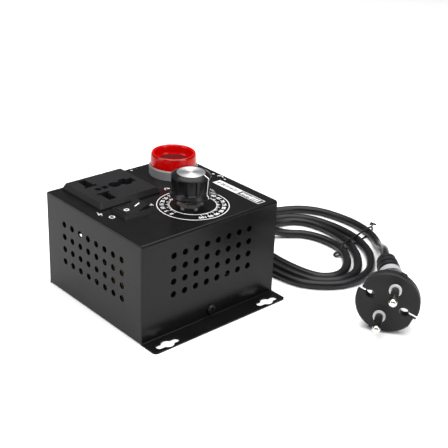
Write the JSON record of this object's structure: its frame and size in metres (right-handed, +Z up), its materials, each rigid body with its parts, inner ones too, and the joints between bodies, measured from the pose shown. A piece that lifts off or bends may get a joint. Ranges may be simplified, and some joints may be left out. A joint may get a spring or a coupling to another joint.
{
  "type": "bench voltage regulator",
  "caption": "Compact bench voltage regulator: folded sheet box with flanges, rotary control knob on a dial, pilot lamp, rocker switch, universal outlet and mains cord with a round plug.",
  "frame": {"origin": "centre of the enclosure's underside, on the surface it stands on", "axes": "+X to the user's right across the flanges, +Y to the rear panel, +Z up"},
  "size_m": [0.193, 0.215, 0.0815],
  "materials": {
    "cover_paint": "satin powder coat",
    "tray_paint": "satin powder coat",
    "screw_black": "black oxide",
    "outlet_plastic": "fine texture",
    "outlet_inner": "matte",
    "brass": "stamped",
    "switch_plastic": "semi gloss",
    "rocker_plastic": "gloss",
    "print_white": "printed ink",
    "lamp_grey": "satin",
    "lens_red": "clear polished",
    "lamp_insert": "dark",
    "gasket_rubber": "matte",
    "pot_metal": "plated",
    "phenolic": "phenolic",
    "track_carbon": "carbon film",
    "zinc_plate": "bright zinc plate",
    "shaft_steel": "turned",
    "knob_plastic": "gloss",
    "spun_aluminium": "spun",
    "label_film": "printed film",
    "board_laminate": "solder mask",
    "black_aluminium": "black anodised",
    "epoxy_black": "moulded epoxy",
    "capacitor_plastic": "potted box",
    "ferrite": "wound core",
    "resistor_body": "lacquered",
    "fuse_glass": "clear",
    "terminal_plastic": "moulded",
    "gland_nylon": "nylon",
    "cord_pvc": "smooth PVC sheath",
    "tie_pvc": "plastic-coated wire",
    "plug_pvc": "moulded PVC",
    "collar_grey": "moulded",
    "pin_nickel": "nickel plate",
    "sleeve_black": "moulded"
  },
  "bodies": {
    "housing": {"cover": "cover_paint", "base_tray": "tray_paint", "cover_screws": "screw_black", "outlet_face": "outlet_plastic", "outlet_body": "outlet_inner", "outlet_contacts": "brass", "outlet_latches": "outlet_inner", "switch_housing": "switch_plastic", "switch_terminals": "brass", "lamp_body": "lamp_grey", "lamp_lens": "lens_red", "lamp_insert": "lamp_insert", "lamp_gasket": "gasket_rubber", "lamp_nut": "lamp_grey", "lamp_cap": "lamp_grey", "lamp_terminals": "brass", "pot_case": "pot_metal", "pot_back": "phenolic", "pot_track": "track_carbon", "pot_terminals": "brass", "pot_washer": "zinc_plate", "pot_nut": "zinc_plate", "dial_print": "print_white", "label_strip": "label_film", "circuit_board": "board_laminate", "standoffs": "brass", "board_screws": "zinc_plate", "heat_sink": "black_aluminium", "triac": "epoxy_black", "triac_screw": "zinc_plate", "film_capacitor": "capacitor_plastic", "choke": "ferrite", "resistors": "resistor_body", "fuse": "fuse_glass", "fuse_clips": "brass", "terminal_block": "terminal_plastic", "gland": "gland_nylon", "cord_lead": "cord_pvc", "cord_coil": "cord_pvc", "cord_tail": "cord_pvc", "cord_tie": "tie_pvc", "plug_body": "plug_pvc", "plug_neck": "plug_pvc", "plug_collars": "collar_grey", "plug_pins": "pin_nickel", "plug_sleeves": "sleeve_black"},
    "knob": {"knob": "knob_plastic", "knob_inlay": "spun_aluminium", "knob_pointer": "print_white", "knob_grub": "shaft_steel", "pot_shaft": "shaft_steel", "pot_wiper": "brass"},
    "rocker": {"switch_rocker": "rocker_plastic", "rocker_marks": "print_white"}
  },
  "joints": [
    {"name": "knob_turn", "type": "hinge", "parent": "housing", "child": "knob", "pos_m": [0.0195, 0.0051, 0.067], "axis": [0, 0, 1], "range_deg": [-42, 258]},
    {"name": "rocker_tip", "type": "hinge", "parent": "housing", "child": "rocker", "pos_m": [0.0065, -0.0264, 0.06], "axis": [-1, 0, 0], "range_deg": [0, 20]}
  ]
}
